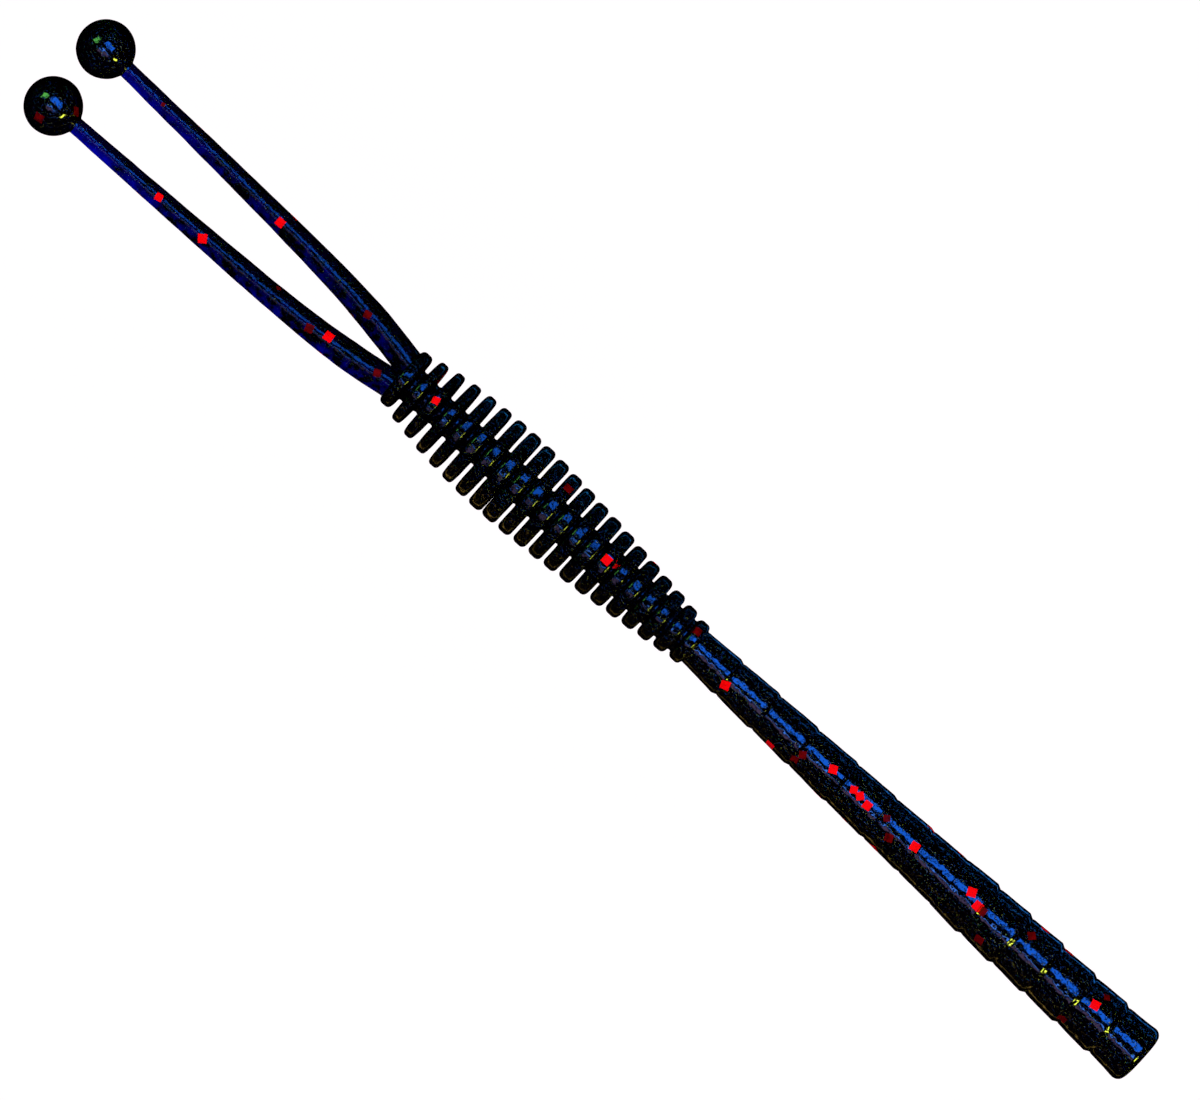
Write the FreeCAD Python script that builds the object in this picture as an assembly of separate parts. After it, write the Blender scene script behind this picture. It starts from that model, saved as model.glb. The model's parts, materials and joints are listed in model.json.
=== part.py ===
import FreeCAD, Part
import math
import os

# A slim soft-plastic lure lying at rest, in millimetres. The origin is the middle of the
# flat nose face, +X runs along the lure to its tail and +Z is up. The real lure is one soft
# moulding. It is divided here into the zones between which it bends. Each zone ends towards
# the tail in a shallow roof whose ridge is a hinge line, and the flat front of the next zone
# rocks on that ridge. The hinge lines stand upright and lie flat by turns.

V = FreeCAD.Vector

# head: stepped frusta, the larger end of each towards the nose
NOSE_LENGTH = 4.38
FRONT_PITCH = 4.51
FRONT_SEGMENTS = 7  # counting the nose
REAR_LENGTHS = [5.05, 5.3, 5.4, 5.3, 5.17, 4.97]
BARREL_SEGMENTS = 6  # the segments, counting the nose, before the head begins to taper
BARREL_RADIUS = 3.37
BARREL_WAIST_RADIUS = 3.1
TAPER_RADIUS = 3.02
TAPER_WAIST_RADIUS = 2.81
TAPER_DROP = 0.112  # loss of radius from one tapered segment to the next
TAPER_WAIST_DROP = 0.129
NOSE_CORNER = 0.9

# rib stack: round discs on a thinner stem; the last disc is the tail collar
RIBS = 21
RIB_PITCH = 1.986
RIB_LARGEST_RADIUS = 4.95
RIB_LARGEST_INDEX = 12.5  # counted from 0 at the head
RIB_HEAD_END_RADIUS = 2.58
RIB_TAIL_END_RADIUS = 3.48
RIB_HEAD_END_POWER = 1.4
RIB_TAIL_END_POWER = 2.5
RIB_FIRST_THICKNESS = 1.46
RIB_THICKNESS = 1.62
RIB_FULL_INDEX = 3  # the first rib of the full thickness
RIB_THINNING_INDEX = 13  # the last one
RIB_LAST_THICKNESS = 1.1
COLLAR_THICKNESS = 1.4
STEM_HEAD_RADIUS = 2.06
STEM_TAIL_RADIUS = 1.65
STEM_END_FLARE = 0.25  # the stem thickens again over its last two gaps
STEM_FLARE_INDEX = 18
ROOT_FILLET = 0.16

# tail: a fork and two tapering arms, each with a ball
ARM_SEGMENTS = 8
ARM_ROOT_X = 107.26
ARM_RADIUS = 1.57
ARM_TIP_RADIUS = 0.91
ARM_TAPER_START_X = 109.26
ARM_TAPER_END_X = 145.26
ARM_TAPER_POWER = 0.8
COLLAR_SPREAD = 1.22  # half the distance between the arms' centrelines inside the collar
ARM_SPREAD = 1.75  # the same where the arms part
ARM_PARTING_X = 106.16
ARM_BULGE = 1.09
ARM_BULGE_LENGTH = 6.5
ARM_SPLAY = 0.027
BALL_RADIUS = 3.1
BALL_X = 149.01

# how far each zone turns on the one before it, in degrees
HEAD_BEND = 4.0  # where the head is thinnest, and less before that
RIB_BEND = 4.0
ARM_BEND = 10.0
HINGE_MARGIN = 1.2  # extra slope of each roof beyond its bend
RIDGE_GAP = 0.02

# resting shape: the barrel, the widest ribs and the balls all touch the same surface
LEVEL_LENGTH = 22.0
SURFACE_Z = -BARREL_RADIUS
OVERRUN = 0.6  # how far a zone is drawn past its ends before it is trimmed
REACH = 20.0  # half the size of a trimming block

Z_AXIS = V(0, 0, 1)
Y_AXIS = V(0, 1, 0)


def ease(share):
    share = min(max(share, 0.0), 1.0)
    return share * share * (3 - 2 * share)


def rib_radius(i):
    if i <= RIB_LARGEST_INDEX:
        share = (RIB_LARGEST_INDEX - i) / RIB_LARGEST_INDEX
        drop = RIB_LARGEST_RADIUS - RIB_HEAD_END_RADIUS
        return RIB_LARGEST_RADIUS - drop * share ** RIB_HEAD_END_POWER
    share = (i - RIB_LARGEST_INDEX) / (RIBS - 1 - RIB_LARGEST_INDEX)
    drop = RIB_LARGEST_RADIUS - RIB_TAIL_END_RADIUS
    return RIB_LARGEST_RADIUS - drop * share ** RIB_TAIL_END_POWER


def rib_thickness(i):
    if i == RIBS - 1:
        return COLLAR_THICKNESS
    if i < RIB_FULL_INDEX:
        share = i / RIB_FULL_INDEX
        return RIB_FIRST_THICKNESS + (RIB_THICKNESS - RIB_FIRST_THICKNESS) * share
    share = 1 - max(i - RIB_THINNING_INDEX, 0) / (RIBS - 2 - RIB_THINNING_INDEX)
    return RIB_LAST_THICKNESS + (RIB_THICKNESS - RIB_LAST_THICKNESS) * share ** 2


def stem_radius(i):
    """The stem's radius in the gap before rib i."""
    flare = STEM_END_FLARE * ease((i - STEM_FLARE_INDEX) / (RIBS - 1 - STEM_FLARE_INDEX))
    return STEM_HEAD_RADIUS + (STEM_TAIL_RADIUS - STEM_HEAD_RADIUS) * i / (RIBS - 1) + flare


def head_steps():
    """The places where head segments begin and end."""
    steps = [0.0, NOSE_LENGTH]
    for length in [FRONT_PITCH] * (FRONT_SEGMENTS - 1) + REAR_LENGTHS:
        steps.append(steps[-1] + length)
    return steps


def segment_radii(i):
    """The radii of head segment i at its nose end and its tail end."""
    if i < BARREL_SEGMENTS - 1:
        return BARREL_RADIUS, BARREL_WAIST_RADIUS
    if i == BARREL_SEGMENTS - 1:
        return BARREL_RADIUS, TAPER_RADIUS
    k = i - BARREL_SEGMENTS
    return TAPER_RADIUS - TAPER_DROP * k, TAPER_WAIST_RADIUS - TAPER_WAIST_DROP * k


HEAD_STEPS = head_steps()
HEAD_SEGMENTS = len(HEAD_STEPS) - 1
FIRST_RIB_X = HEAD_STEPS[-1] + rib_thickness(0) / 2
RIB_CENTRES = [FIRST_RIB_X + RIB_PITCH * i for i in range(RIBS)]
COLLAR_BACK_X = RIB_CENTRES[-1] + COLLAR_THICKNESS / 2
CREST_X = FIRST_RIB_X + RIB_PITCH * RIB_LARGEST_INDEX
CREST_Z = SURFACE_Z + RIB_LARGEST_RADIUS
BALL_Z = SURFACE_Z + BALL_RADIUS


def axis_height(x):
    if x <= CREST_X:
        return CREST_Z * ease((x - LEVEL_LENGTH) / (CREST_X - LEVEL_LENGTH))
    return CREST_Z + (BALL_Z - CREST_Z) * ease((x - CREST_X) / (BALL_X - CREST_X))


def body_point(x):
    return V(x, 0, axis_height(x))


def arm_spread(x):
    """Half the distance between the two arms' centrelines."""
    run = max(x, ARM_ROOT_X) - ARM_PARTING_X
    spread = ARM_SPREAD + ARM_BULGE * (1 - math.exp(-run / ARM_BULGE_LENGTH)) + ARM_SPLAY * run
    share = (x - RIB_CENTRES[-1]) / (ARM_ROOT_X - RIB_CENTRES[-1])
    return spread if share > 1 else COLLAR_SPREAD + (spread - COLLAR_SPREAD) * share


def arm_point(x, side):
    return V(x, side * arm_spread(x), axis_height(x))


def arm_radius(x):
    share = (x - ARM_TAPER_START_X) / (ARM_TAPER_END_X - ARM_TAPER_START_X)
    share = min(max(share, 0.0), 1.0)
    return ARM_RADIUS - (ARM_RADIUS - ARM_TIP_RADIUS) * share ** ARM_TAPER_POWER


class Hinge:
    """A hinge line through a point, with the way to the tail across it."""

    def __init__(self, point, ahead, upright, bend):
        self.point = point
        self.upright = upright
        self.line = Z_AXIS if upright else Y_AXIS
        across = ahead - self.line * ahead.dot(self.line)
        self.forward = across.normalize()
        self.bend = bend

    def block(self, outline):
        """A prism along the hinge line on an outline of (forward, sideways) points."""
        sideways = self.line.cross(self.forward)
        start = self.point - self.line * REACH
        corners = [start + self.forward * u + sideways * v for u, v in outline]
        face = Part.Face(Part.makePolygon(corners + corners[:1]))
        return face.extrude(self.line * (2 * REACH))

    def space_after(self):
        far = 2 * REACH
        near = RIDGE_GAP
        return self.block([(near, -REACH), (far, -REACH), (far, REACH), (near, REACH)])

    def space_before(self):
        slope = math.tan(math.radians(self.bend + HINGE_MARGIN))
        back = -REACH * slope
        far = -2 * REACH
        ridge = [(far, -REACH), (back, -REACH), (0, 0), (back, REACH), (far, REACH)]
        return self.block(ridge)


def aligned(shape, start, end):
    """Moves a shape drawn along +X from the origin on to the line from start to end."""
    turn = FreeCAD.Rotation(V(1, 0, 0), end - start)
    shape.transformShape(FreeCAD.Placement(start, turn).toMatrix())
    return shape


def turned(edges):
    """A solid of revolution about X from the edges of its outline above the axis."""
    face = Part.Face(Part.Wire(edges))
    return face.revolve(V(0, 0, 0), V(1, 0, 0), 360)


def line(a, b):
    return Part.LineSegment(V(a[0], a[1], 0), V(b[0], b[1], 0)).toShape()


def arc(a, middle, b):
    return Part.Arc(*[V(p[0], p[1], 0) for p in (a, middle, b)]).toShape()


def corner(centre, radius, first_degrees, last_degrees):
    """A quarter round, as its first, middle and last points."""
    middle_degrees = (first_degrees + last_degrees) / 2
    angles = [math.radians(d) for d in (first_degrees, middle_degrees, last_degrees)]
    return [(centre[0] + radius * math.cos(a), centre[1] + radius * math.sin(a)) for a in angles]


def head_segment(i):
    start_x = HEAD_STEPS[i]
    end_x = HEAD_STEPS[i + 1]
    length = end_x - start_x
    large, small = segment_radii(i)
    last = length + OVERRUN
    tip = (last, small - (large - small) / length * OVERRUN)
    if i:
        front = -OVERRUN
        a = (front, large)
        b = (0, large)
        outline = [line((front, 0), a), line(a, b)]
    else:
        front = 0.0
        middle = (NOSE_CORNER, large - NOSE_CORNER)
        a, m, b = corner(middle, NOSE_CORNER, 180, 90)
        outline = [line((front, 0), a), arc(a, m, b)]
    outline += [line(b, tip), line(tip, (last, 0)), line((last, 0), (front, 0))]
    shape = aligned(turned(outline), body_point(start_x), body_point(end_x))
    if i:
        shape = shape.common(HEAD_HINGES[i - 1].space_after())
    return shape.common(HEAD_HINGES[i].space_before())


def disc(centre, radius, thickness):
    half = thickness / 2
    shoulder = radius - half
    a = (centre - half, shoulder)
    b = (centre + half, shoulder)
    outline = [line((centre - half, 0), a), arc(a, (centre, radius), b)]
    outline += [line(b, (centre + half, 0)), line((centre + half, 0), (centre - half, 0))]
    return turned(outline)


def stub(face, end, radius):
    """The stem from a rib's face to past the hinge line, with a rounded root."""
    way = 1 if end > face else -1
    top = radius + ROOT_FILLET
    centre = (face + way * ROOT_FILLET, top)
    first = 180 if way > 0 else 0
    a, m, b = corner(centre, ROOT_FILLET, first, 270 if way > 0 else -90)
    inside = face - way * OVERRUN / 2
    last = end + way * OVERRUN
    outline = [line((inside, 0), (inside, top)), line((inside, top), a), arc(a, m, b)]
    outline += [line(b, (last, radius)), line((last, radius), (last, 0))]
    outline += [line((last, 0), (inside, 0))]
    return turned(outline)


def rib(i):
    before = RIB_HINGES[i]
    start = before.point
    last = i == RIBS - 1
    end = body_point(COLLAR_BACK_X) if last else RIB_HINGES[i + 1].point
    centre = (RIB_CENTRES[i] - start.x) / math.cos(math.atan2(end.z - start.z, end.x - start.x))
    half = rib_thickness(i) / 2
    solids = [aligned(disc(centre, rib_radius(i), 2 * half), start, end)]
    if i:
        front = stub(centre - half, 0.0, stem_radius(i))
        solids.append(aligned(front, start, end).common(before.space_after()))
    if not last:
        back = stub(centre + half, end.distanceToPoint(start), stem_radius(i + 1))
        after = RIB_HINGES[i + 1]
        solids.append(aligned(back, start, end).common(after.space_before()))
    shape = solids[0]
    if len(solids) > 1:
        shape = shape.fuse(solids[1:]).removeSplitter()
    return shape if i else shape.common(before.space_after())


def arm_span(x0, x1, side):
    """An arm's round, tapering length between two places, drawn past both ends."""
    a = arm_point(x0, side)
    b = arm_point(x1, side)
    change = (arm_radius(x1) - arm_radius(x0)) / (x1 - x0) * OVERRUN
    first = -OVERRUN
    last = a.distanceToPoint(b) + OVERRUN
    top = [(first, arm_radius(x0) - change), (last, arm_radius(x1) + change)]
    corners = [(first, 0)] + top + [(last, 0), (first, 0)]
    return aligned(turned([line(p, q) for p, q in zip(corners, corners[1:])]), a, b)


def tail_fork():
    first = RIB_CENTRES[-1]
    ahead = V(1, 0, (axis_height(COLLAR_BACK_X + 1) - axis_height(COLLAR_BACK_X - 1)) / 2)
    collar_back = Hinge(body_point(COLLAR_BACK_X), ahead, False, 0)
    tubes = []
    for side in (1, -1):
        tube = arm_span(first, ARM_ROOT_X, side)
        tubes.append(tube.common(ARM_HINGES[side][0].space_before()))
    fork = tubes[0].fuse(tubes[1]).removeSplitter()
    return fork.common(collar_back.space_after())


def ball_seat(side):
    """The plane where an arm meets its ball, as a point and the way to the ball's middle."""
    centre = arm_point(BALL_X, side)
    way = (centre - arm_point(ARM_TAPER_END_X, side)).normalize()
    depth = math.sqrt(BALL_RADIUS ** 2 - ARM_TIP_RADIUS ** 2)
    return centre - way * depth, way


def block_beyond(point, way):
    """A block that fills the space beyond a plane."""
    block = Part.makeBox(2 * REACH, 2 * REACH, 2 * REACH, V(0, -REACH, -REACH))
    return aligned(block, point, point + way)


def arm_segment(k, side):
    hinges = ARM_HINGES[side]
    x0 = ARM_STATIONS[k]
    x1 = ARM_STATIONS[k + 1]
    span = arm_span(x0, x1, side).common(hinges[k].space_after())
    if k < ARM_SEGMENTS - 1:
        return span.common(hinges[k + 1].space_before())
    return span.cut(block_beyond(*ball_seat(side)))


def ball(side):
    sphere = Part.makeSphere(BALL_RADIUS, arm_point(BALL_X, side))
    return sphere.common(block_beyond(*ball_seat(side)))


def body_hinge(x, upright, bend):
    ahead = V(2, 0, axis_height(x + 1) - axis_height(x - 1))
    return Hinge(body_point(x), ahead, upright, bend)


def head_bend(i):
    """The bend after head segment i, by how much stiffer it is than the thinnest place."""
    thinnest = segment_radii(HEAD_SEGMENTS - 1)[1]
    return HEAD_BEND * (thinnest / segment_radii(i)[1]) ** 4


def gap_x(i):
    """The middle of the gap in front of rib i."""
    if i == 0:
        return HEAD_STEPS[-1]
    behind = RIB_CENTRES[i - 1] + rib_thickness(i - 1) / 2
    return (behind + RIB_CENTRES[i] - rib_thickness(i) / 2) / 2


def arm_hinge(x, side, upright):
    ahead = arm_point(x + 1, side) - arm_point(x - 1, side)
    return Hinge(arm_point(x, side), ahead, upright, ARM_BEND)


RIB_HINGES = [body_hinge(gap_x(i), i % 2 == 0, RIB_BEND) for i in range(RIBS)]
HEAD_HINGES = []
for n in range(HEAD_SEGMENTS - 1):
    HEAD_HINGES.append(body_hinge(HEAD_STEPS[n + 1], n % 2 == 0, head_bend(n)))
HEAD_HINGES.append(RIB_HINGES[0])
BALL_SEAT_X = ball_seat(1)[0].x
SEGMENT_LENGTH = (BALL_SEAT_X - ARM_ROOT_X) / ARM_SEGMENTS
ARM_STATIONS = [ARM_ROOT_X + SEGMENT_LENGTH * k for k in range(ARM_SEGMENTS + 1)]
ARM_HINGES = {}
for s in (1, -1):
    ARM_HINGES[s] = [arm_hinge(ARM_STATIONS[k], s, k % 2 == 0) for k in range(ARM_SEGMENTS)]


def all_parts():
    parts = {}
    for i in range(HEAD_SEGMENTS):
        name = f"head_segment_{i + 1:02d}" if i else "nose_segment"
        parts[name] = head_segment(i)
    for i in range(RIBS):
        name = "tail_collar" if i == RIBS - 1 else f"rib_{i + 1:02d}"
        parts[name] = rib(i)
    parts["tail_fork"] = tail_fork()
    for label, side in (("left", 1), ("right", -1)):
        for k in range(ARM_SEGMENTS):
            parts[f"{label}_arm_{k + 1}"] = arm_segment(k, side)
        parts[f"{label}_ball"] = ball(side)
    return parts


os.makedirs("parts", exist_ok=True)
for part_name, part_shape in all_parts().items():
    part_shape.exportStep(f"parts/{part_name}.step")
    state = "valid" if part_shape.isValid() else "INVALID"
    print(part_name, state, len(part_shape.Solids), round(part_shape.Volume, 3))
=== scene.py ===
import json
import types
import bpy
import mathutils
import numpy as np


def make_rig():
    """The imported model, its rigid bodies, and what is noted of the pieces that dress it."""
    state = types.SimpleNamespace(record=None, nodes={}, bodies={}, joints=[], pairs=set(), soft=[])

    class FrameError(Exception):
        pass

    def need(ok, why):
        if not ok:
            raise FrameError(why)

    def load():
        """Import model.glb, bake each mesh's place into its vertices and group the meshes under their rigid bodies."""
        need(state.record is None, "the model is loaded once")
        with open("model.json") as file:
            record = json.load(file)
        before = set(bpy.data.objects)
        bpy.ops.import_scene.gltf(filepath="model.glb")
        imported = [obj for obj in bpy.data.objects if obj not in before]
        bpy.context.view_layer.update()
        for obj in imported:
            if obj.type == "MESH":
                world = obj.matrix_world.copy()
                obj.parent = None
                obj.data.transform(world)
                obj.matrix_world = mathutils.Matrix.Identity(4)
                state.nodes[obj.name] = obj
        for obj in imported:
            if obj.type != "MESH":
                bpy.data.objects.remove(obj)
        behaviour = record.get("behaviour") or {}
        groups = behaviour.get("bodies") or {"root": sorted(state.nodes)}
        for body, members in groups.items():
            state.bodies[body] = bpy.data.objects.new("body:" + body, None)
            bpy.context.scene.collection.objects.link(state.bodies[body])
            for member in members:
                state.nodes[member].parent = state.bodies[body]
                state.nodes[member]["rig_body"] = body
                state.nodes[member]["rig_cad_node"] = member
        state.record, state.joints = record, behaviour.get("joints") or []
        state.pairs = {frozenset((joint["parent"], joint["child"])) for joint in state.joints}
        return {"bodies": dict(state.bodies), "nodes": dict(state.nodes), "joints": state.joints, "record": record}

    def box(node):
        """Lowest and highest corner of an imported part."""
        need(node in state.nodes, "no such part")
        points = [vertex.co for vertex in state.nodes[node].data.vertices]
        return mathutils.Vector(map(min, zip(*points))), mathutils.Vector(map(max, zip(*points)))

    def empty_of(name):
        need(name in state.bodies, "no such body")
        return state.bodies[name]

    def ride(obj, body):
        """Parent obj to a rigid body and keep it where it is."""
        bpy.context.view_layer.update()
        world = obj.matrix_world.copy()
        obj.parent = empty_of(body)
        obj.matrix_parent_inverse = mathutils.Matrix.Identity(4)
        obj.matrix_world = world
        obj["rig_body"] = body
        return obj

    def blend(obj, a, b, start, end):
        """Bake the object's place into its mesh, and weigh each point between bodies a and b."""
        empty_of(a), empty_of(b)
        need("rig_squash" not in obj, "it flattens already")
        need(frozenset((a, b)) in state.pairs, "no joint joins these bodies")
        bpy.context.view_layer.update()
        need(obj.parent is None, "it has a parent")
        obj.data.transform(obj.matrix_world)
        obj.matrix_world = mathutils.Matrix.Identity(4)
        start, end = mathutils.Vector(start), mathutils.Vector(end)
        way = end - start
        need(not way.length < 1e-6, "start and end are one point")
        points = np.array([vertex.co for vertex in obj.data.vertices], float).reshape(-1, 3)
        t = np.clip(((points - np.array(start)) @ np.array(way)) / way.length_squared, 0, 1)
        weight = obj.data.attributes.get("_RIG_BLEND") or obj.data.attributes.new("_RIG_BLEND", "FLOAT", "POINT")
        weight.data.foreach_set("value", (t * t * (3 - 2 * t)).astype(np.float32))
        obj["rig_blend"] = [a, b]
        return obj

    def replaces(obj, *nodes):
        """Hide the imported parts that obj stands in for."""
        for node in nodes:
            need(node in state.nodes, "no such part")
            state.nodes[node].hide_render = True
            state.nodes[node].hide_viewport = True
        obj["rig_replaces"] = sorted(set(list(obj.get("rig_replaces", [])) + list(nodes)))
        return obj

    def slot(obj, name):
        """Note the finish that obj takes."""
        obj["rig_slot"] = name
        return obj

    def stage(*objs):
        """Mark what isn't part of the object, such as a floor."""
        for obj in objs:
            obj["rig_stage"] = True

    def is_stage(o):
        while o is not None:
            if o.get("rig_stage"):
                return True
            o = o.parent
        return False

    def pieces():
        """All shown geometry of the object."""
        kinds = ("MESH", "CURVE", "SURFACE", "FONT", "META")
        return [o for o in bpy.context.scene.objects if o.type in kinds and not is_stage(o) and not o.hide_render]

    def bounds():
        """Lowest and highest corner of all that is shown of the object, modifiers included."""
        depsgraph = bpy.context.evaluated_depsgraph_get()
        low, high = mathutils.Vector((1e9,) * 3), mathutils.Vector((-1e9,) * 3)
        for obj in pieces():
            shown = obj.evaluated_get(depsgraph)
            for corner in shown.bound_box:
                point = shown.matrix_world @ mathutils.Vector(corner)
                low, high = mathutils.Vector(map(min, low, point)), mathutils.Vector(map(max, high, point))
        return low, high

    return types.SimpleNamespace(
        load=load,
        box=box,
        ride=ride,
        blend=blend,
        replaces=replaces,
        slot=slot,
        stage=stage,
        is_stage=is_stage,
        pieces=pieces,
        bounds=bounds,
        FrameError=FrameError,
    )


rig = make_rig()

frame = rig.load()
cad_low, cad_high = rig.bounds()

import json
import math
import random

import bpy
import numpy as np
from mathutils import Matrix, Vector, noise
from mathutils.bvhtree import BVHTree

MM = 0.001

# ---------------------------------------------------------------- the model's own places
HEAD = ["nose_segment"] + [f"head_segment_{i:02d}" for i in range(2, 14)]
RIBS = [f"rib_{i:02d}" for i in range(1, 21)] + ["tail_collar"]
ARM_SEGMENTS = 8
SIDES = {"left": 1, "right": -1}

MOVED_BY = {j["child"]: j for j in frame["joints"]}
TABLE_Z = cad_low.z  # the surface that the lure lies on
FLOOR_DROP = 65 * MM  # the floor is this far below it, clear of the tail at its lowest bend


def hinge(body):
    """Where the joint that moves a body lies."""
    return Vector(MOVED_BY[body]["pos_m"])


def half_width(node):
    low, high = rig.box(node)
    return (high.y - low.y) / 2


# the lure's own sizes, where the frame doesn't give them
NOSE_CORNER = 0.9 * MM
STEP_RISE_LENGTH = 0.55 * MM  # a step climbs to its full radius over this length
NOTCH_DEPTH = 0.06 * MM
NOTCH_LENGTH = 0.22 * MM
WAIST_RADIUS = 3.1 * MM
BARREL_SEGMENTS = 6
TAPER_WAIST_RADIUS = 2.81 * MM
TAPER_WAIST_DROP = 0.129 * MM
TAPER_RADIUS = 3.02 * MM
RIB_FIRST_THICKNESS = 1.46 * MM
RIB_THICKNESS = 1.62 * MM
RIB_FULL_INDEX = 3
RIB_THINNING_INDEX = 13
RIB_LAST_THICKNESS = 1.1 * MM
COLLAR_THICKNESS = 1.4 * MM
RIB_PITCH = 1.986 * MM
STEM_HEAD_RADIUS = 2.06 * MM
STEM_TAIL_RADIUS = 1.65 * MM
STEM_END_FLARE = 0.25 * MM
STEM_FLARE_INDEX = 18
ARM_RADIUS = 1.57 * MM
ARM_TIP_RADIUS = 0.91 * MM
ARM_TAPER_START = 109.26 * MM
ARM_TAPER_END = 145.26 * MM
COLLAR_SPREAD = 1.22 * MM
FORK_END = 106.46 * MM


def ease(share):
    share = min(max(share, 0.0), 1.0)
    return share * share * (3 - 2 * share)


def rib_thickness(i):
    if i == len(RIBS) - 1:
        return COLLAR_THICKNESS
    if i < RIB_FULL_INDEX:
        share = i / RIB_FULL_INDEX
        return RIB_FIRST_THICKNESS + (RIB_THICKNESS - RIB_FIRST_THICKNESS) * share
    share = 1 - max(i - RIB_THINNING_INDEX, 0) / (len(RIBS) - 2 - RIB_THINNING_INDEX)
    return RIB_LAST_THICKNESS + (RIB_THICKNESS - RIB_LAST_THICKNESS) * share ** 2


def stem_radius(i):
    """The stem's radius in the gap before rib i."""
    last = len(RIBS) - 1
    flare = STEM_END_FLARE * ease((i - STEM_FLARE_INDEX) / (last - STEM_FLARE_INDEX))
    return STEM_HEAD_RADIUS + (STEM_TAIL_RADIUS - STEM_HEAD_RADIUS) * i / last + flare


def waist_radius(i):
    """The radius at the tail end of head segment i."""
    if i < BARREL_SEGMENTS - 1:
        return WAIST_RADIUS
    if i == BARREL_SEGMENTS - 1:
        return TAPER_RADIUS
    return TAPER_WAIST_RADIUS - TAPER_WAIST_DROP * (i - BARREL_SEGMENTS)


def arm_radius(x):
    share = min(max((x - ARM_TAPER_START) / (ARM_TAPER_END - ARM_TAPER_START), 0.0), 1.0)
    return ARM_RADIUS - (ARM_RADIUS - ARM_TIP_RADIUS) * share ** 0.8


def ball_centre(label):
    low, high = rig.box(f"{label}_ball")
    radius = (high.z - low.z) / 2
    return Vector((high.x - radius, (high.y + low.y) / 2, (high.z + low.z) / 2)), radius


RIB_CENTRES = [hinge("rib_01").x + rib_thickness(0) / 2 + RIB_PITCH * i for i in range(len(RIBS))]
HEAD_STEPS = [0.0] + [hinge(name).x for name in HEAD[1:]] + [hinge("rib_01").x]

# ---------------------------------------------------------------- curves through the hinges


def curve_through(points):
    """A smooth curve through points that are in order along X, as a function of x."""
    xs = np.array([p.x for p in points])
    rest = np.array([[p.y, p.z] for p in points])
    slopes = np.gradient(rest, xs, axis=0)

    def at(x):
        k = int(np.clip(np.searchsorted(xs, x) - 1, 0, len(xs) - 2))
        width = xs[k + 1] - xs[k]
        s = (x - xs[k]) / width
        a = (1 + 2 * s) * (1 - s) ** 2
        b = s * (1 - s) ** 2 * width
        c = s * s * (3 - 2 * s)
        d = s * s * (s - 1) * width
        y, z = a * rest[k] + b * slopes[k] + c * rest[k + 1] + d * slopes[k + 1]
        return Vector((x, y, z))

    return at


def body_stations():
    points = [Vector((0, 0, 0))] + [hinge(name) for name in HEAD[1:] + RIBS]
    first = sum((hinge(f"{label}_arm_1") for label in SIDES), Vector()) / 2
    last = sum((ball_centre(label)[0] for label in SIDES), Vector()) / 2
    return points + [first, last]


def arm_stations(label):
    side = SIDES[label]
    collar = body_at(RIB_CENTRES[-1])
    points = [Vector((collar.x, side * COLLAR_SPREAD, collar.z))]
    points += [hinge(f"{label}_arm_{k}") for k in range(1, ARM_SEGMENTS + 1)]
    return points + [ball_centre(label)[0]]


body_at = curve_through(body_stations())
ARM_AT = {label: curve_through(arm_stations(label)) for label in SIDES}

# ---------------------------------------------------------------- meshes from rings
CURVE_STEP = 0.4 * MM
SHARP_ANGLE = math.radians(40)
WOBBLE = 0.035 * MM
WOBBLE_SIZE = 2.6 * MM
LUMP = 0.012 * MM
LUMP_SIZE = 0.8 * MM


def direction(at, x):
    return (at(x + CURVE_STEP) - at(x - CURVE_STEP)).normalized()


def moulded(point):
    """Where the uneven moulding really puts a point of the ideal shape."""
    slow = noise.noise_vector(point / WOBBLE_SIZE)
    fast = noise.noise_vector(point / LUMP_SIZE)
    return point + slow * WOBBLE + fast * LUMP


def ring(at, x, radius, around, forward=0.0):
    """Points round a curve at x, or a single point where the radius is zero."""
    ahead = direction(at, x)
    centre = at(x) + ahead * forward
    if radius <= 0:
        return [moulded(centre)]
    side = Vector((0, 0, 1)).cross(ahead).normalized()
    up = ahead.cross(side)
    points = []
    for k in range(around):
        angle = 2 * math.pi * k / around
        out = side * math.cos(angle) + up * math.sin(angle)
        points.append(moulded(centre + out * radius))
    return points


def new_piece(name, vertices, faces, material):
    mesh = bpy.data.meshes.new(name)
    mesh.from_pydata(vertices, [], faces)
    mesh.polygons.foreach_set("use_smooth", [True] * len(mesh.polygons))
    mesh.set_sharp_from_angle(angle=SHARP_ANGLE)
    mesh.materials.append(material)
    mesh.update()
    piece = bpy.data.objects.new(name, mesh)
    bpy.context.scene.collection.objects.link(piece)
    return piece


def mesh_from(name, rings, material):
    """A closed mesh through rings of points, with single points at its two ends."""
    vertices = [p for points in rings for p in points]
    faces = []
    start = 0
    for a, b in zip(rings, rings[1:]):
        after = start + len(a)
        count = max(len(a), len(b))
        for k in range(count):
            n = (k + 1) % count
            if len(a) == 1:
                faces.append((start, after + n, after + k))
            elif len(b) == 1:
                faces.append((start + k, start + n, after))
            else:
                faces.append((start + k, start + n, after + n, after + k))
        start = after
    return new_piece(name, vertices, faces, material)


def arc(centre, radius, first, last, steps):
    """Points (x, radius) round a quarter circle, angles in degrees from +X."""
    points = []
    for k in range(steps + 1):
        angle = math.radians(first + (last - first) * k / steps)
        points.append((centre[0] + radius * math.cos(angle), centre[1] + radius * math.sin(angle)))
    return points


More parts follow.
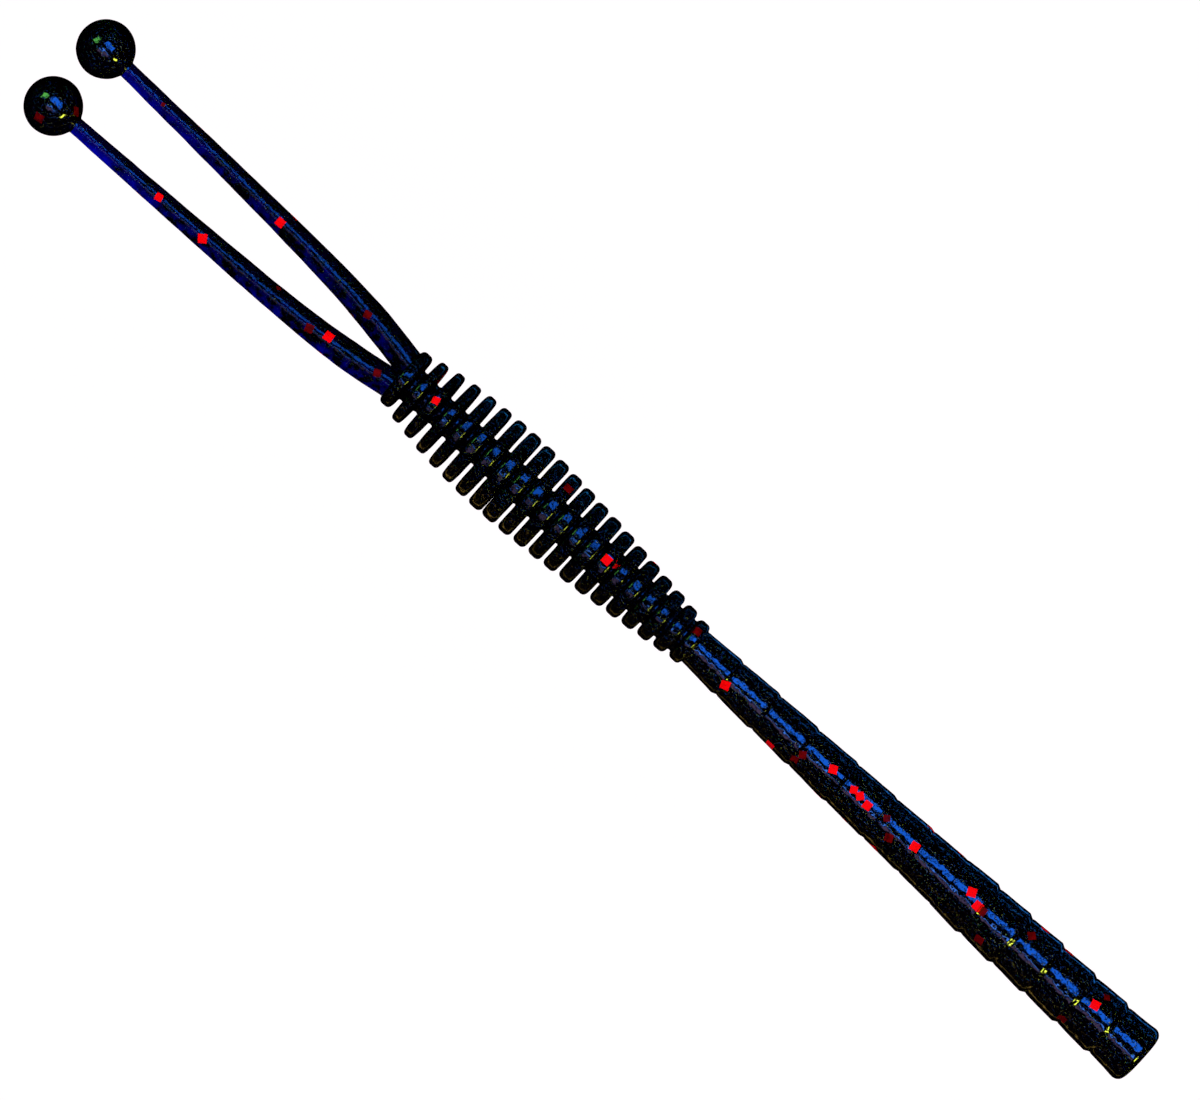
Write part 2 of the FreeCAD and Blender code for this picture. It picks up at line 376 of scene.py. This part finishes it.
def straight(a, b, step):
    """Points from a to b, both included, no further apart than step."""
    count = max(1, math.ceil(math.dist(a, b) / step))
    return [(a[0] + (b[0] - a[0]) * k / count, a[1] + (b[1] - a[1]) * k / count)
            for k in range(count + 1)]


def lathe(name, at, outline, around, material, shift=None):
    """Turns an outline of (x, radius) points round a curve."""
    rings = [ring(at, outline[0][0], 0, 1)]
    rings += [ring(at, x, radius, around) for x, radius in outline]
    rings += [ring(at, outline[-1][0], 0, 1)]
    if shift:
        rings = [[shift(p) for p in points] for points in rings]
    return mesh_from(name, rings, material)


# ---------------------------------------------------------------- how pieces move
SKINS = []


def rides(body):
    return lambda piece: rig.ride(piece, body)


def bends(before, after, start, end):
    return lambda piece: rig.blend(piece, before, after, start=start, end=end)


class Skin:
    """A piece of the moulding and how it moves, kept for the flakes that lie on it."""

    def __init__(self, piece, slot, move, *nodes):
        move(piece)
        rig.slot(piece, slot)
        if nodes:
            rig.replaces(piece, *nodes)
        points = [v.co for v in piece.data.vertices]
        self.piece = piece
        self.move = move
        self.low = Vector([min(p[k] for p in points) for k in range(3)])
        self.high = Vector([max(p[k] for p in points) for k in range(3)])
        self.flakes = {}
        SKINS.append(self)

    def holds(self, point):
        return all(self.low[k] <= point[k] <= self.high[k] for k in range(3))


# ---------------------------------------------------------------- materials


def principled(name):
    material = bpy.data.materials.new(name)
    material.use_nodes = True
    nodes = material.node_tree.nodes
    return material, nodes, material.node_tree.links, nodes["Principled BSDF"]


def noise_node(nodes, links, where, size, detail=2.0):
    texture = nodes.new("ShaderNodeTexNoise")
    texture.inputs["Scale"].default_value = 1 / size
    texture.inputs["Detail"].default_value = detail
    links.new(where.outputs["Object"], texture.inputs["Vector"])
    return texture


def ramp_node(nodes, links, source, low, high, stops=(0.35, 0.65)):
    ramp = nodes.new("ShaderNodeValToRGB")
    ramp.color_ramp.elements[0].position = stops[0]
    ramp.color_ramp.elements[1].position = stops[1]
    ramp.color_ramp.elements[0].color = (*low, 1)
    ramp.color_ramp.elements[1].color = (*high, 1)
    links.new(source, ramp.inputs["Fac"])
    return ramp


def spread_out(nodes, links, source, first, last, low, high):
    """Maps source from first..last on to low..high."""
    made = nodes.new("ShaderNodeMapRange")
    made.inputs["From Min"].default_value = first
    made.inputs["From Max"].default_value = last
    made.inputs["To Min"].default_value = low
    made.inputs["To Max"].default_value = high
    links.new(source, made.inputs["Value"])
    return made.outputs["Result"]


def bump_node(nodes, links, height, distance):
    made = nodes.new("ShaderNodeBump")
    made.inputs["Strength"].default_value = 1.0
    made.inputs["Distance"].default_value = distance
    links.new(height, made.inputs["Height"])
    return made


def plastisol(name, dark, light, shallow, deep):
    """Soft, glossy vinyl with a cloudy dye and a finely pitted skin, its colour painted brighter along X towards the
    arms' balls as a painted glow of light shining through the thinner plastic there. The pits' walls lie where a noise
    runs from shallow to deep, so the further apart these are, the duller the skin."""
    material, nodes, links, shader = principled(name)
    where = nodes.new("ShaderNodeTexCoord")
    cloud = noise_node(nodes, links, where, CLOUD_SIZE, 3.0).outputs["Fac"]
    place = nodes.new("ShaderNodeSeparateXYZ")
    links.new(where.outputs["Object"], place.inputs["Vector"])
    # painted glow: from here to the end of the arms the colour is painted brighter, standing for light shining through
    # the thinner plastic, and is added to the dye's cloud
    painted_glow = spread_out(nodes, links, place.outputs["X"], PAINTED_GLOW_START, PAINTED_GLOW_END, 0.0, 0.3)
    dye_and_glow = nodes.new("ShaderNodeMath")
    links.new(cloud, dye_and_glow.inputs[0])
    links.new(painted_glow, dye_and_glow.inputs[1])
    colour = ramp_node(nodes, links, dye_and_glow.outputs["Value"], dark, light, (0.46, 0.95))
    links.new(colour.outputs["Color"], shader.inputs["Base Color"])
    film = noise_node(nodes, links, where, FILM_SIZE).outputs["Fac"]
    links.new(spread_out(nodes, links, film, 0.4, 0.62, 0.03, 0.1), shader.inputs["Roughness"])
    pit = noise_node(nodes, links, where, PIT_SIZE, 1.0).outputs["Fac"]
    pits = bump_node(nodes, links, spread_out(nodes, links, pit, shallow, deep, 1.0, 0.0), PIT_DEPTH)
    wave = noise_node(nodes, links, where, WAVE_SIZE, 0.0).outputs["Fac"]
    waves = bump_node(nodes, links, wave, WAVE_DEPTH)
    links.new(pits.outputs["Normal"], waves.inputs["Normal"])
    links.new(waves.outputs["Normal"], shader.inputs["Normal"])
    shader.inputs["IOR"].default_value = 1.36
    shader.inputs["Specular Tint"].default_value = (0.4, 0.6, 1.0, 1)
    return material, shader


def flake(name, dark, light):
    """Red film flake seen through the clear skin of the plastic."""
    material, nodes, links, shader = principled(name)
    where = nodes.new("ShaderNodeTexCoord")
    cloud = noise_node(nodes, links, where, 0.5 * MM, 3.0).outputs["Fac"]
    colour = ramp_node(nodes, links, cloud, dark, light, (0.3, 0.6))
    links.new(colour.outputs["Color"], shader.inputs["Base Color"])
    film = noise_node(nodes, links, where, FILM_SIZE).outputs["Fac"]
    links.new(spread_out(nodes, links, film, 0.4, 0.6, 0.4, 0.6), shader.inputs["Roughness"])
    wave = noise_node(nodes, links, where, WAVE_SIZE).outputs["Fac"]
    bump = bump_node(nodes, links, wave, WAVE_DEPTH)
    links.new(bump.outputs["Normal"], shader.inputs["Normal"])
    shader.inputs["IOR"].default_value = 1.2
    shader.inputs["Specular IOR Level"].default_value = 0.05
    return material


CLOUD_SIZE = 1.0 * MM
PAINTED_GLOW_START = 130 * MM  # the arms' blue is painted brighter towards their balls, a painted glow of light shining through the thinner plastic there
PAINTED_GLOW_END = 146 * MM
FILM_SIZE = 0.5 * MM
WAVE_SIZE = 0.5 * MM
WAVE_DEPTH = 0.035 * MM
PIT_SIZE = 0.28 * MM
PIT_DEPTH = 0.04 * MM
BLACK = (0.0002, 0.0002, 0.0005)
BLUE_BLACK = (0.0004, 0.0004, 0.001)
DEEP_BLUE = (0.0002, 0.0002, 0.001)
BRIGHT_BLUE = (0.001, 0.002, 0.34)
BODY, body_shader = plastisol("body_plastisol", BLACK, BLUE_BLACK, 0.54, 0.62)
RIB, rib_shader = plastisol("rib_plastisol", BLACK, BLUE_BLACK, 0.51, 0.6)
ARM, arm_shader = plastisol("arm_plastisol", DEEP_BLUE, BRIGHT_BLUE, 0.53, 0.62)
arm_shader.inputs["Specular IOR Level"].default_value = 0.2
rib_shader.inputs["Specular IOR Level"].default_value = 0.3
RED = flake("red_flake", (0.85, 0.0, 0.002), (1.0, 0.0, 0.004))
DEEP_RED = flake("deep_red_flake", (0.03, 0.0, 0.0005), (0.13, 0.0, 0.001))

# ---------------------------------------------------------------- head and ribs
BODY_AROUND = 144
RING_STEP = 0.2 * MM
CAP_RADIUS = 0.3 * MM
RIB_CORNER_SHARE = 0.34
ROOT_FILLET = 0.16 * MM
STEP_BEND = 1.2 * MM  # how far each side of a step the head bends
CLOSING_GAP = 12  # the gap after this rib is nearly shut on its +Y side
CLOSING_BEFORE = 0.2 * MM
CLOSING_AFTER = 0.07 * MM
CLOSING_EASE = 0.5 * MM


def head_middle(i):
    return (HEAD_STEPS[i] + HEAD_STEPS[i + 1]) / 2


def head_radius(i, x):
    """The radius of head segment i, which climbs a step and then tapers towards the tail."""
    start, end = HEAD_STEPS[i], HEAD_STEPS[i + 1]
    large, small = half_width(HEAD[i]), waist_radius(i)
    radius = large + (small - large) * (x - start) / (end - start)
    if i == 0:
        return radius
    to_climb = max(0.0, 1 - (x - start) / STEP_RISE_LENGTH)
    return radius - (large - waist_radius(i - 1) + NOTCH_DEPTH) * to_climb


def head_half(i, way):
    """A head segment's outline from its middle to its tail end, or to its nose end."""
    first = head_middle(i)
    last = HEAD_STEPS[i + 1] if way > 0 else HEAD_STEPS[i]
    count = math.ceil(abs(last - first) / RING_STEP * 2)
    places = [first + (last - first) * k / count for k in range(count + 1)]
    outline = [(x, head_radius(i, x)) for x in places]
    if way > 0:
        outline = [(x, r - NOTCH_DEPTH * max(0.0, 1 - (last - x) / NOTCH_LENGTH)) for x, r in outline]
    return outline


def nose_outline():
    large = head_radius(0, 0)
    centre = (NOSE_CORNER, large - NOSE_CORNER)
    outline = straight((0, CAP_RADIUS), (0, centre[1]), 2 * RING_STEP)[:-1]
    outline += arc(centre, NOSE_CORNER, 180, 90, 14)
    outline += straight((NOSE_CORNER, large), (head_middle(0), head_radius(0, head_middle(0))), RING_STEP)[1:]
    return outline


def rib_rim(i, way):
    """Half a rib's outline from its middle plane to its face, way +1 towards the tail."""
    middle, half = RIB_CENTRES[i], rib_thickness(i) / 2
    radius = half_width(RIBS[i])
    corner = rib_thickness(i) * RIB_CORNER_SHARE
    centre = (middle + way * (half - corner), radius - corner)
    outline = straight((middle, radius), (centre[0], radius), RING_STEP)[:-1]
    return outline + arc(centre, corner, 90, 90 - way * 90, 9)


def head_gap_outline(i):
    """From the middle of head segment i to the middle of the next."""
    return head_half(i, 1)[:-1] + head_half(i + 1, -1)[::-1]


def head_to_rib_outline():
    """From the middle of the last head segment to the middle of the first rib."""
    last = len(HEAD) - 1
    rim = rib_rim(0, -1)[::-1]
    face = rim[0][0]
    taper = [p for p in head_half(last, 1) if p[0] < face - ROOT_FILLET]
    root = (face - ROOT_FILLET, waist_radius(last) + ROOT_FILLET)
    return taper + arc(root, ROOT_FILLET, 270, 360, 5) + rim


def rib_gap_outline(i):
    """From the middle of rib i to the middle of rib i + 1, by way of the slot between them."""
    behind = RIB_CENTRES[i] + rib_thickness(i) / 2
    ahead = RIB_CENTRES[i + 1] - rib_thickness(i + 1) / 2
    root = (ahead - behind) / 2
    neck = stem_radius(i + 1)
    first = rib_rim(i, 1)
    last = rib_rim(i + 1, -1)[::-1]
    slot = straight(first[-1], (behind, neck + root), RING_STEP)[1:-1]
    slot += arc((behind + root, neck + root), root, 180, 270, 7)
    slot += arc((behind + root, neck + root), root, 270, 360, 7)[1:]
    slot += straight((ahead, neck + root), last[0], RING_STEP)[1:-1]
    return first + slot + last


def closing(point):
    """Thickens the ribs each side of one gap, on the gap's +Y side, until they nearly meet."""
    i = CLOSING_GAP
    behind = RIB_CENTRES[i] + rib_thickness(i) / 2
    ahead = RIB_CENTRES[i + 1] - rib_thickness(i + 1) / 2
    share = ease((point.y - stem_radius(i + 1) + CLOSING_EASE) / CLOSING_EASE)
    grown = CLOSING_BEFORE * ease((point.x - RIB_CENTRES[i]) / (behind - RIB_CENTRES[i]))
    back = CLOSING_AFTER * ease((RIB_CENTRES[i + 1] - point.x) / (RIB_CENTRES[i + 1] - ahead))
    across = min(max((point.x - behind) / (ahead - behind), 0.0), 1.0)
    return point + Vector((share * (grown * (1 - across) - back * across), 0, 0))


def head():
    nose = lathe("nose_skin", body_at, nose_outline(), BODY_AROUND, BODY)
    Skin(nose, "dark_plastic", rides(HEAD[0]), HEAD[0])
    for i in range(len(HEAD) - 1):
        name = f"head_{i + 1:02d}_to_{i + 2:02d}"
        piece = lathe(name, body_at, head_gap_outline(i), BODY_AROUND, BODY)
        step = HEAD_STEPS[i + 1]
        move = bends(HEAD[i], HEAD[i + 1], body_at(step - STEP_BEND), body_at(step + STEP_BEND))
        Skin(piece, "dark_plastic", move, HEAD[i + 1])


def ribs():
    neck = lathe("head_to_rib_01", body_at, head_to_rib_outline(), BODY_AROUND, BODY)
    face = HEAD_STEPS[-1]
    move = bends(HEAD[-1], RIBS[0], body_at(face - STEP_BEND), body_at(face))
    Skin(neck, "dark_plastic", move, RIBS[0])
    for i in range(len(RIBS) - 1):
        name = f"{RIBS[i]}_to_{i + 2:02d}"
        shift = closing if i == CLOSING_GAP else None
        piece = lathe(name, body_at, rib_gap_outline(i), BODY_AROUND, RIB, shift)
        behind = body_at(RIB_CENTRES[i] + rib_thickness(i) / 2)
        ahead = body_at(RIB_CENTRES[i + 1] - rib_thickness(i + 1) / 2)
        Skin(piece, "dark_plastic", bends(RIBS[i], RIBS[i + 1], behind, ahead), RIBS[i + 1])
    back = rib_rim(len(RIBS) - 1, 1)
    collar = lathe("collar_back", body_at, back + [(back[-1][0], CAP_RADIUS)], BODY_AROUND, RIB)
    Skin(collar, "dark_plastic", rides(RIBS[-1]))


# ---------------------------------------------------------------- arms and balls
ARM_AROUND = 72
ARM_STEP = 0.2 * MM
BALL_BLEND = 7  # the higher, the sharper the corner between arm and ball
BALL_RINGS = 44


def arm_middle(label, k):
    """Where on X the middle of arm segment k lies, k from 1."""
    start = hinge(f"{label}_arm_{k}").x
    pitch = hinge(f"{label}_arm_2").x - hinge(f"{label}_arm_1").x
    return start + pitch / 2


def arm_outline(start, end):
    count = math.ceil((end - start) / ARM_STEP)
    places = [start + (end - start) * k / count for k in range(count + 1)]
    return [(x, arm_radius(x)) for x in places]


def fork():
    for label in SIDES:
        outline = arm_outline(RIB_CENTRES[-1], FORK_END)
        piece = lathe(f"{label}_fork_root", ARM_AT[label], outline, ARM_AROUND, ARM)
        Skin(piece, "blue_plastic", rides("tail_collar"), "tail_fork")


def arm(label):
    at = ARM_AT[label]
    for k in range(1, ARM_SEGMENTS + 1):
        start = FORK_END if k == 1 else arm_middle(label, k - 1)
        end = arm_middle(label, k)
        body = f"{label}_arm_{k}"
        before = "tail_collar" if k == 1 else f"{label}_arm_{k - 1}"
        piece = lathe(f"{body}_skin", at, arm_outline(start, end), ARM_AROUND, ARM)
        Skin(piece, "blue_plastic", bends(before, body, at(start), at(end)), body)


def arm_end(label):
    """The last half segment and the ball, as one closed skin."""
    at = ARM_AT[label]
    centre, radius = ball_centre(label)
    start = arm_middle(label, ARM_SEGMENTS)
    meeting = centre.x - radius * 1.02
    outline = arm_outline(start, meeting)
    rings = [ring(at, start, 0, 1)] + [ring(at, x, r, ARM_AROUND) for x, r in outline]
    arm_faces = (len(rings) - 1) * ARM_AROUND
    for k in range(1, BALL_RINGS):
        along = -radius * math.cos(math.pi * k / BALL_RINGS)
        ball = math.sqrt(max(radius ** 2 - along ** 2, 0))
        stalk = arm_radius(centre.x) if along < 0 else 0
        size = (ball ** BALL_BLEND + stalk ** BALL_BLEND) ** (1 / BALL_BLEND)
        rings.append(ring(at, centre.x, size, ARM_AROUND, forward=along))
    rings.append(ring(at, centre.x, 0, 1, forward=radius))
    piece = mesh_from(f"{label}_ball_skin", rings, BODY)
    piece.data.materials.append(ARM)
    for face in piece.data.polygons[:arm_faces]:
        face.material_index = 1
    Skin(piece, "dark_plastic", rides(f"{label}_arm_{ARM_SEGMENTS}"), f"{label}_ball")


# ---------------------------------------------------------------- flakes
FLAKE = 0.98
FLAKE_GRID = 6
FLAKE_PROUD = 0.012 * MM
FLAKE_SUNK = 0.03 * MM
BODY_REACH = 7 * MM
ARM_REACH = 2.4 * MM
BALL_REACH = 3.6 * MM

# flakes on the upper side, in mm and degrees: place along X, place along Y, turn and size
HEAD_BRIGHT = [
    (7.4, -0.9, 12, FLAKE),
    (23.2, -0.15, 0, FLAKE),
    (24.6, -0.8, 24, FLAKE),
    (32.1, -0.25, 10, FLAKE),
    (38.6, -0.05, 4, 0.9),
    (39.8, -0.25, 48, 0.85),
    (40.7, -0.3, 30, 0.8),
    (43.7, -0.4, 27, 0.9),
    (50.1, 2.2, 5, FLAKE),
    (57.7, 0.8, 20, FLAKE),
]
HEAD_DEEP = [
    (7.0, -2.3, 35, 0.7),
    (8.9, 2.4, 5, 0.9),
    (17.0, -1.7, 45, 0.9),
    (20.7, 2.3, 15, FLAKE),
    (22.5, -0.1, 3, 0.9),
    (34.7, 0.9, 25, 0.9),
    (36.2, -0.45, 40, 0.7),
    (47.0, 0.65, 35, 0.8),
    (47.3, 1.55, 15, 0.8),
]
RIB_BRIGHT = [(75.4, -0.4, 0, 0.95), (74.3, -0.5, 30, 0.5), (99.15, -0.5, 15, 0.8)]
RIB_DEEP = [(63.6, -1.35, 5, 0.9), (83.2, -3.1, 0, 0.9)]
LEFT_ARM_BRIGHT = [(111.8, 2.15, 2, FLAKE), (128.3, 3.6, 35, FLAKE), (134.5, 3.5, 10, 0.8)]
LEFT_ARM_DEEP = [(105.6, 1.5, 20, 0.8), (113.9, 2.9, 15, 0.9), (119.0, 2.0, 40, 0.5)]
RIGHT_ARM_BRIGHT = [(123.5, -3.05, 5, 0.9)]
RIGHT_ARM_DEEP = [(110.4, -2.2, 20, 0.8), (140.7, -3.8, 30, 0.4)]
LEFT_BALL_DEEP = [(149.1, 5.9, 10, FLAKE), (146.7, 2.8, 50, 0.7)]


def frame_round(at, x, angle):
    """Outward, along and sideways at a place on a skin, angle in radians from the top to +Y."""
    ahead = direction(at, x)
    side = Vector((0, 0, 1)).cross(ahead).normalized()
    out = ahead.cross(side) * math.cos(angle) + side * math.sin(angle)
    return out, ahead, out.cross(ahead)


def flake_points(surface, at, x, angle, turn, size, reach):
    """A square grid of points dropped on the skin, or nothing where it runs off an edge."""
    out, ahead, across = frame_round(at, x, angle)
    turned = math.radians(turn)
    along = ahead * math.cos(turned) + across * math.sin(turned)
    beside = across * math.cos(turned) - ahead * math.sin(turned)
    points = []
    for i in range(FLAKE_GRID + 1):
        for j in range(FLAKE_GRID + 1):
            u = (i / FLAKE_GRID - 0.5) * size * MM
            v = (j / FLAKE_GRID - 0.5) * size * MM
            start = at(x) + along * u + beside * v + out * reach
            hit = surface.ray_cast(start, -out, reach)[0]
            if hit is None:
                return [], out
            points.append(hit)
    return points, out


def flake_faces(first):
    """The faces of a thin plate on two grids of points, the upper one first."""
    row = FLAKE_GRID + 1
    below = row * row
    faces = []
    for i in range(FLAKE_GRID):
        for j in range(FLAKE_GRID):
            a = first + i * row + j
            top = (a, a + 1, a + row + 1, a + row)
            faces.append(top)
            faces.append(tuple(k + below for k in reversed(top)))
    edge = [j for j in range(row)]
    edge += [i * row + row - 1 for i in range(1, row)]
    edge += [(row - 1) * row + j for j in range(row - 2, -1, -1)]
    edge += [i * row for i in range(row - 2, 0, -1)]
    for a, b in zip(edge, edge[1:] + edge[:1]):
        faces.append((first + b, first + a, first + a + below, first + b + below))
    return faces


def lay_flake(surface, at, x, angle, turn, size, reach, material):
    points, out = flake_points(surface, at, x, angle, turn, size, reach)
    if not points:
        return
    centre = points[len(points) // 2]
    skin = next(s for s in SKINS if s.holds(centre))
    vertices, faces = skin.flakes.setdefault(material, ([], []))
    faces += flake_faces(len(vertices))
    vertices += [p + out * FLAKE_PROUD for p in points]
    vertices += [p - out * FLAKE_SUNK for p in points]


def lay_seen(surface, at, places, reach, material):
    """Flakes that face upwards, at places along X and Y."""
    for x, y, turn, size in places:
        above = Vector((x * MM, y * MM, 2 * BODY_REACH))
        hit = surface.ray_cast(above, Vector((0, 0, -1)))[0]
        middle = at(hit.x)
        angle = math.atan2(hit.y - middle.y, hit.z - middle.z)
        lay_flake(surface, at, hit.x, angle, turn, size, reach, material)


def lay_scattered(surface, at, xs, reach, draw):
    """Flakes on the flanks and the underside, one at each place along X."""
    for x in xs:
        angle = math.radians(draw.uniform(80, 280))
        turn = draw.uniform(0, 90)
        size = draw.choice([0.6, 0.8, FLAKE, FLAKE])
        material = draw.choice([RED, DEEP_RED])
        lay_flake(surface, at, x, angle, turn, size, reach, material)


def flakes():
    points = []
    faces = []
    for skin in SKINS:
        first = len(points)
        points += [v.co.copy() for v in skin.piece.data.vertices]
        faces += [[first + k for k in p.vertices] for p in skin.piece.data.polygons]
    surface = BVHTree.FromPolygons(points, faces)
    left, right = ARM_AT["left"], ARM_AT["right"]
    for at, bright, deep, reach in (
        (body_at, HEAD_BRIGHT + RIB_BRIGHT, HEAD_DEEP + RIB_DEEP, BODY_REACH),
        (left, LEFT_ARM_BRIGHT, LEFT_ARM_DEEP, ARM_REACH),
        (right, RIGHT_ARM_BRIGHT, RIGHT_ARM_DEEP, ARM_REACH),
        (left, [], LEFT_BALL_DEEP, BALL_REACH),
    ):
        lay_seen(surface, at, bright, reach, RED)
        lay_seen(surface, at, deep, reach, DEEP_RED)
    draw = random.Random(11)
    head_places = [draw.uniform(2, 61) * MM for _ in range(34)]
    rib_places = [x + draw.uniform(-0.15, 0.15) * MM for x in RIB_CENTRES[:-1]]
    arm_places = [draw.uniform(109, 144) * MM for _ in range(9)]
    lay_scattered(surface, body_at, head_places, BODY_REACH, draw)
    lay_scattered(surface, body_at, draw.sample(rib_places, 11), BODY_REACH, draw)
    for at in (left, right):
        lay_scattered(surface, at, arm_places, ARM_REACH, draw)
        ball_places = [draw.uniform(147.5, 151) * MM for _ in range(3)]
        lay_scattered(surface, at, ball_places, BALL_REACH, draw)
    for skin in SKINS:
        for material, (vertices, faces) in skin.flakes.items():
            made = new_piece(f"{skin.piece.name}_{material.name}", vertices, faces, material)
            skin.move(made)
            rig.slot(made, "red_flake")


# ---------------------------------------------------------------- camera, floor and lights
VIEW_TURN = 222.77  # degrees from +X to the camera's right, turning about +Z
VIEW_CENTRE = Vector((76.52 * MM, -0.67 * MM, 0.0))
VIEW_WIDTH = 123.73 * MM
CAMERA_HEIGHT = 900 * MM
SENSOR = 36.0


def camera():
    data = bpy.data.cameras.new("camera")
    data.sensor_width = SENSOR
    data.lens = SENSOR * CAMERA_HEIGHT / VIEW_WIDTH
    data.clip_start = 0.01
    data.clip_end = 20
    made = bpy.data.objects.new("camera", data)
    bpy.context.scene.collection.objects.link(made)
    turn = Matrix.Rotation(math.radians(VIEW_TURN), 4, "Z")
    made.matrix_world = Matrix.Translation(VIEW_CENTRE + Vector((0, 0, CAMERA_HEIGHT))) @ turn
    bpy.context.scene.camera = made


def floor():
    """A white sheet that keeps its own light off the lure."""
    size = 3.0
    height = TABLE_Z - FLOOR_DROP
    corners = [(-size, -size, height), (size, -size, height), (size, size, height), (-size, size, height)]
    mesh = bpy.data.meshes.new("floor")
    mesh.from_pydata(corners, [], [(0, 1, 2, 3)])
    made = bpy.data.objects.new("floor", mesh)
    bpy.context.scene.collection.objects.link(made)
    material, nodes, links, shader = principled("floor")
    shader.inputs["Base Color"].default_value = (0.1, 0.1, 0.1, 1)
    shader.inputs["Roughness"].default_value = 0.9
    shader.inputs["Emission Color"].default_value = (1, 1, 1, 1)
    shader.inputs["Emission Strength"].default_value = 0.96
    mesh.materials.append(material)
    made.visible_diffuse = False
    made.visible_glossy = False
    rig.stage(made)


def soft_light(name, lean, turn, length, width, brightness, colour, distance=0.6):
    """A panel of light above the lure. lean tips it from overhead towards +Y, and turn swings
    that way about +Z, both in degrees. Brightness is its radiance."""
    data = bpy.data.lights.new(name, "AREA")
    data.shape = "RECTANGLE"
    data.size = length
    data.size_y = width
    data.energy = brightness * math.pi * length * width
    data.color = colour
    made = bpy.data.objects.new(name, data)
    bpy.context.scene.collection.objects.link(made)
    spin = Matrix.Rotation(math.radians(turn), 4, "Z")
    tip = Matrix.Rotation(math.radians(-lean), 4, "X")
    lift = Matrix.Translation((0, 0, distance))
    middle = Matrix.Translation(((cad_low.x + cad_high.x) / 2, 0, 0))
    made.matrix_world = middle @ spin @ tip @ lift
    made.visible_camera = False
    return made


def table_light(name, start, end, y, width, brightness, colour):
    """A strip on the table beside the lure, from start to end along X, seen only in its flanks."""
    made = soft_light(name, 0, 0, end - start, width, brightness, colour)
    place = Vector(((start + end) / 2, y, TABLE_Z))
    made.matrix_world = Matrix.Translation(place) @ Matrix.Rotation(math.pi, 4, "X")
    made.visible_diffuse = False


def lights():
    neck, tail = HEAD_STEPS[-1], RIB_CENTRES[-1]
    gloss_only = [
        soft_light("main", -19.5, 0, 0.5, 0.21, 26, (0.03, 0.27, 1.0)),
        soft_light("second", 19, 0, 0.5, 0.1, 5, (1.0, 0.45, 0.6)),
        soft_light("line", 10, 0, 0.5, 0.03, 30, (0.15, 0.4, 1.0)),
        soft_light("nose_glint", 58, 84, 0.14, 0.12, 110, (1.0, 0.8, 0.04)),
        soft_light("tail_glint", 52, -96, 0.16, 0.16, 26, (0.3, 1.0, 0.1)),
    ]
    for made in gloss_only:
        made.visible_diffuse = False
    table_light("blue_edge", -5 * MM, neck, -8 * MM, 1.2 * MM, 4, (0.03, 0.3, 1.0))
    table_light("blue_tips", neck, tail, -13.4 * MM, 1.5 * MM, 4, (0.03, 0.4, 1.0))
    table_light("brown_edge", -5 * MM, neck, 10.8 * MM, 1.2 * MM, 2.2, (1.0, 0.6, 0.1))
    table_light("brown_tips", neck, tail, 13.4 * MM, 1.5 * MM, 2.5, (1.0, 0.6, 0.1))
    red_fill = soft_light("red_fill", -5, 0, 0.5, 0.5, 5.5, (1.0, 0.1, 0.05))
    red_fill.visible_glossy = False
    glow = soft_light("arm_glow", 78, 0, 0.5, 0.3, 10, (0.1, 0.2, 1.0))
    glow.visible_glossy = False
    world = bpy.data.worlds.new("studio")
    world.use_nodes = True
    background = world.node_tree.nodes["Background"]
    background.inputs["Color"].default_value = (1, 1, 1, 1)
    background.inputs["Strength"].default_value = 1.0
    world.cycles_visibility.diffuse = False
    world.cycles_visibility.glossy = False
    bpy.context.scene.world = world


def grade():
    settings = bpy.context.scene.view_settings
    settings.view_transform = "Standard"


camera()
floor()
lights()
grade()
head()
ribs()
fork()
for arm_label in SIDES:
    arm(arm_label)
    arm_end(arm_label)
flakes()

low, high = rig.bounds()
with open("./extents.json", "w") as size_file:
    json.dump({"cad": [list(cad_low), list(cad_high)], "visual": [list(low), list(high)]}, size_file)
